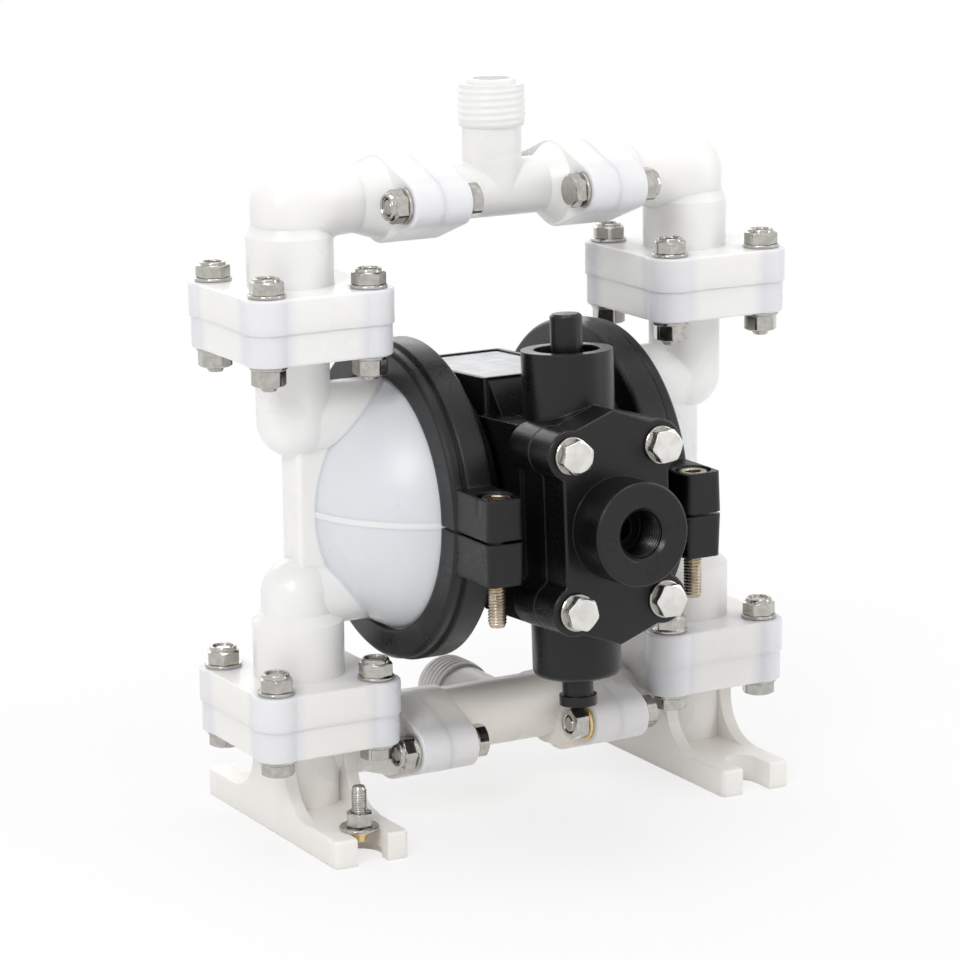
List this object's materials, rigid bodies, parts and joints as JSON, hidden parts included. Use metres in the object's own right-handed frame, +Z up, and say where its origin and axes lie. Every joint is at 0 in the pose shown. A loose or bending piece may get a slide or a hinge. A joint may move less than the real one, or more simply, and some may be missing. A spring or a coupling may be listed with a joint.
{
  "type": "air operated diaphragm pump",
  "caption": "Compact air-driven double diaphragm pump: white plastic fluid chambers and manifolds, black clamp bands, central air valve with reset pins, threaded ports and slotted feet.",
  "frame": {"origin": "middle of the four foot slots on the floor plane, under the middle of the diaphragm shaft", "axes": "+Z up, X along the diaphragm shaft, -Y towards the air inlet and the valve cover"},
  "size_m": [0.1984, 0.1656, 0.2392],
  "materials": {
    "white_polypropylene": "translucent satin moulding",
    "ptfe": "smooth",
    "white_plate": "smooth moulding",
    "black_nylon": "glass filled, satin",
    "rubber": "matt",
    "stainless_steel": "bright",
    "aluminium": "machined",
    "brass": "plain",
    "bearing_plastic": "turned"
  },
  "bodies": {
    "pump": {"outlet_tee": "white_polypropylene", "inlet_tee": "white_polypropylene", "left_outlet_elbow": "white_polypropylene", "right_outlet_elbow": "white_polypropylene", "left_foot": "white_polypropylene", "right_foot": "white_polypropylene", "left_fluid_chamber": "white_polypropylene", "right_fluid_chamber": "white_polypropylene", "left_suction_seat": "white_polypropylene", "right_suction_seat": "white_polypropylene", "left_discharge_seat": "white_polypropylene", "right_discharge_seat": "white_polypropylene", "left_diaphragm": "ptfe", "right_diaphragm": "ptfe", "flange_seals": "ptfe", "manifold_seals": "ptfe", "left_upper_band": "black_nylon", "right_upper_band": "black_nylon", "left_lower_band": "black_nylon", "right_lower_band": "black_nylon", "centre_housing": "black_nylon", "valve_cover": "black_nylon", "left_air_plate": "black_nylon", "right_air_plate": "black_nylon", "exhaust_silencer": "black_nylon", "valve_plug": "black_nylon", "shaft_seals": "rubber", "cover_gasket": "rubber", "upper_flange_bolts": "stainless_steel", "lower_flange_bolts": "stainless_steel", "manifold_bolts": "stainless_steel", "cover_bolts": "stainless_steel", "lock_nuts": "stainless_steel", "plain_nuts": "stainless_steel", "steel_washers": "stainless_steel", "band_bolts": "stainless_steel", "air_plate_screws": "stainless_steel", "earth_nut": "stainless_steel", "earth_washer": "stainless_steel", "earth_stud": "stainless_steel", "valve_sleeve": "aluminium", "brass_washers": "brass", "band_inserts": "brass", "shaft_bushes": "bearing_plastic"},
    "shaft": {"main_shaft": "stainless_steel", "left_inner_plate": "aluminium", "right_inner_plate": "aluminium", "left_outer_plate": "white_plate", "right_outer_plate": "white_plate"},
    "left_suction_ball": {"left_suction_ball": "ptfe"},
    "left_discharge_ball": {"left_discharge_ball": "ptfe"},
    "right_suction_ball": {"right_suction_ball": "ptfe"},
    "right_discharge_ball": {"right_discharge_ball": "ptfe"},
    "spool": {"valve_spool": "aluminium", "spool_rings": "rubber", "upper_reset_pin": "stainless_steel", "lower_reset_pin": "stainless_steel"},
    "pilot": {"pilot_rod": "stainless_steel"}
  },
  "joints": [
    {"name": "shaft_slide", "type": "slide", "parent": "pump", "child": "shaft", "axis": [1, 0, 0], "range_m": [-0.006, 0.006], "deforming": ["left_diaphragm", "right_diaphragm"]},
    {"name": "pilot_slide", "type": "slide", "parent": "pump", "child": "pilot", "axis": [1, 0, 0], "range_m": [-0.002, 0.002]},
    {"name": "spool_slide", "type": "slide", "parent": "pump", "child": "spool", "axis": [0, 0.0523, 0.9986], "range_m": [-0.006, 0]},
    {"name": "left_suction_ball_lift", "type": "slide", "parent": "pump", "child": "left_suction_ball", "axis": [0, 0, 1], "range_m": [0, 0.005]},
    {"name": "left_discharge_ball_lift", "type": "slide", "parent": "pump", "child": "left_discharge_ball", "axis": [0, 0, 1], "range_m": [0, 0.005]},
    {"name": "right_suction_ball_lift", "type": "slide", "parent": "pump", "child": "right_suction_ball", "axis": [0, 0, 1], "range_m": [0, 0.005]},
    {"name": "right_discharge_ball_lift", "type": "slide", "parent": "pump", "child": "right_discharge_ball", "axis": [0, 0, 1], "range_m": [0, 0.005]}
  ],
  "couplings": [
    {"joint": "pilot_slide", "follows": "shaft_slide", "ratio": 0.3333}
  ]
}
